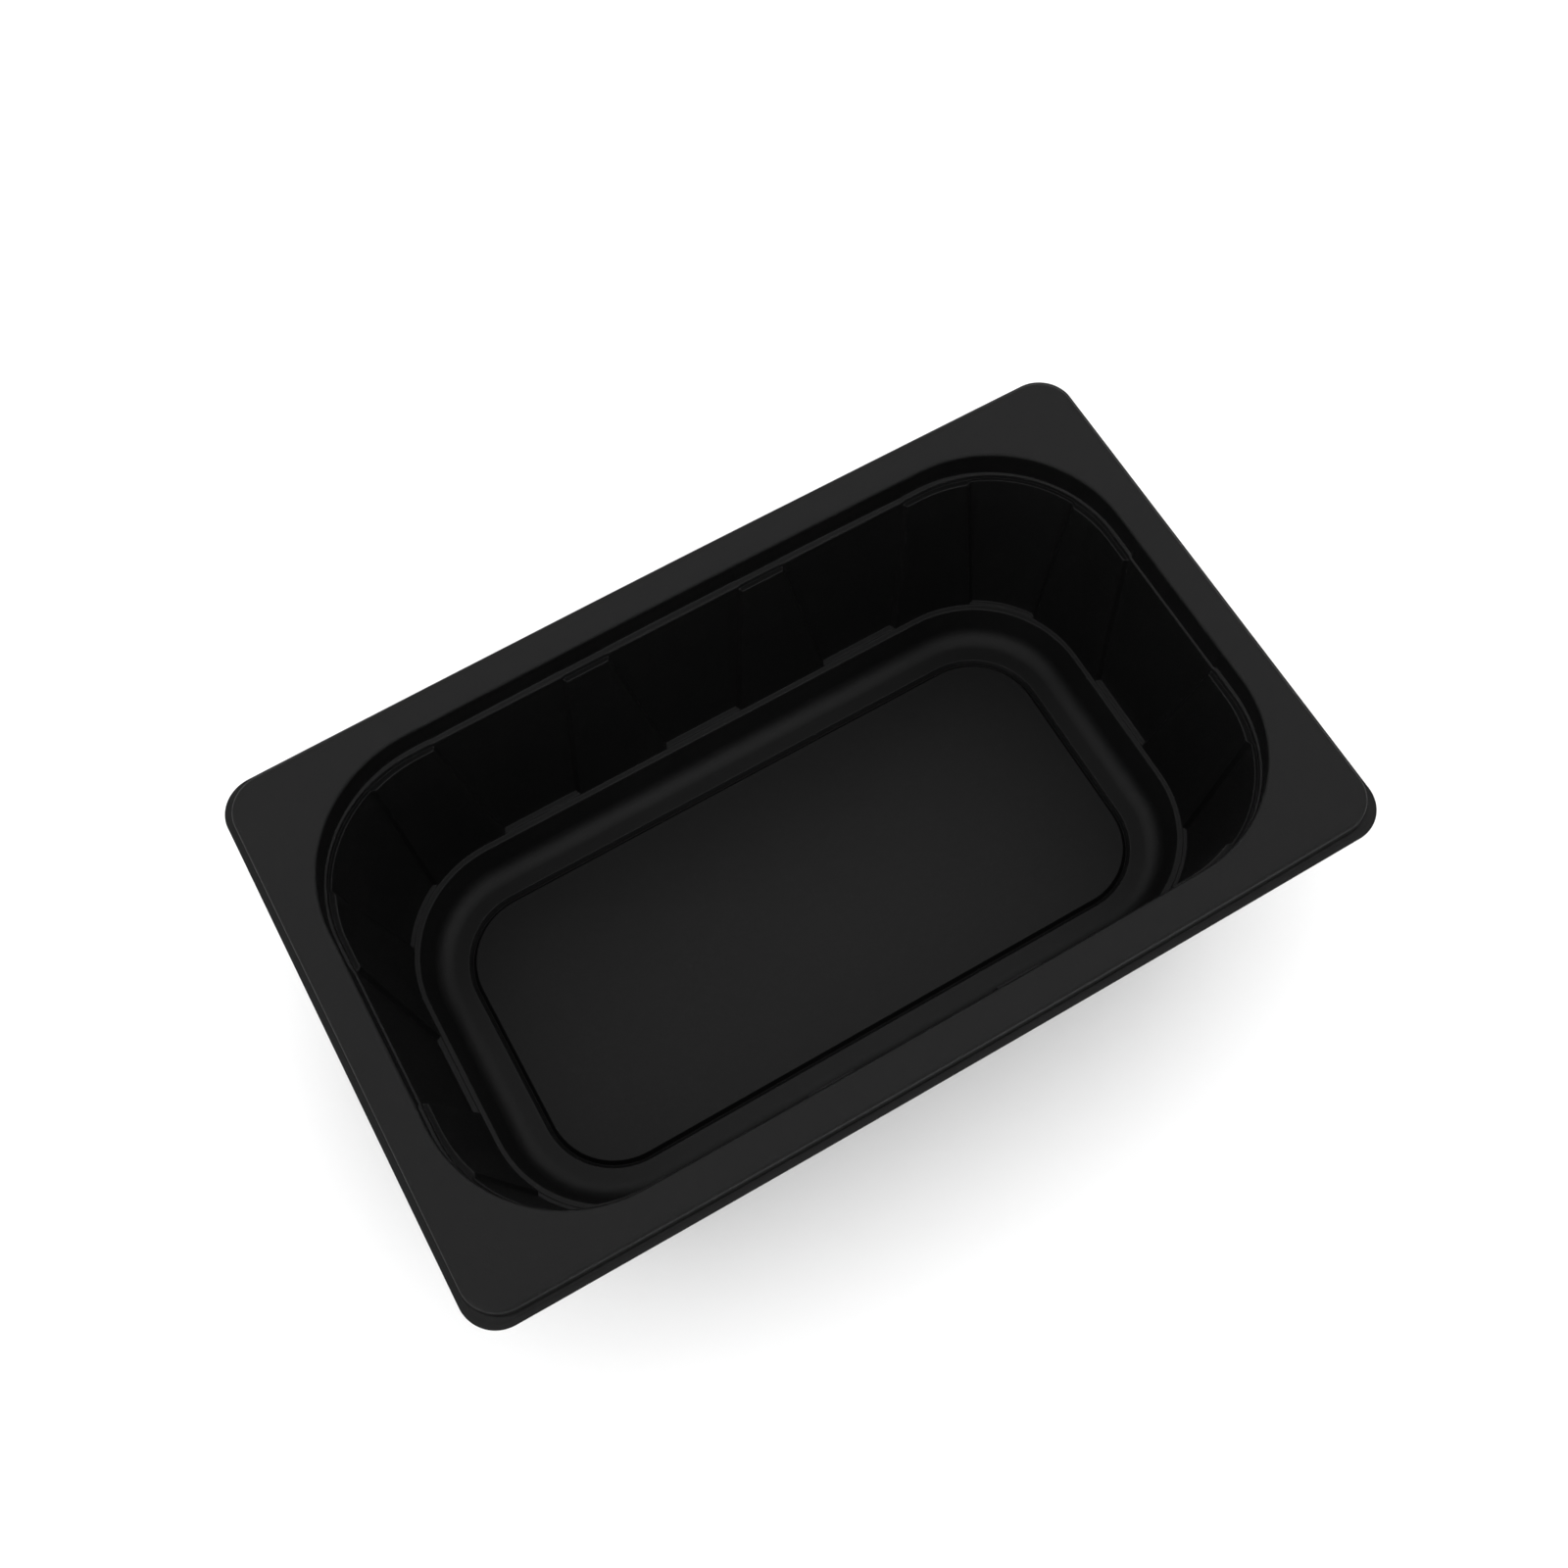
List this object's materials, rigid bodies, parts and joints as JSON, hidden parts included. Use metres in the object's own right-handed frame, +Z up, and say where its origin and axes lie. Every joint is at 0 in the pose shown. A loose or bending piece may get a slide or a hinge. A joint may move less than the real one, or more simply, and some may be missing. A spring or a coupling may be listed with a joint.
{
  "type": "gastronorm food pan",
  "caption": "Rectangular deli food pan: one black plastic moulding with a flat rim, tapering ribbed walls, a stepped bowl and a grooved flat floor.",
  "frame": {"origin": "centre of the pan's footprint, at the height of the table it stands on", "axes": "+Z up, out of the open mouth; X along the long side; Y along the short side"},
  "size_m": [0.265, 0.164, 0.08],
  "materials": {
    "black_plastic": "satin"
  },
  "bodies": {
    "root": {"pan": "black_plastic"}
  },
  "joints": []
}
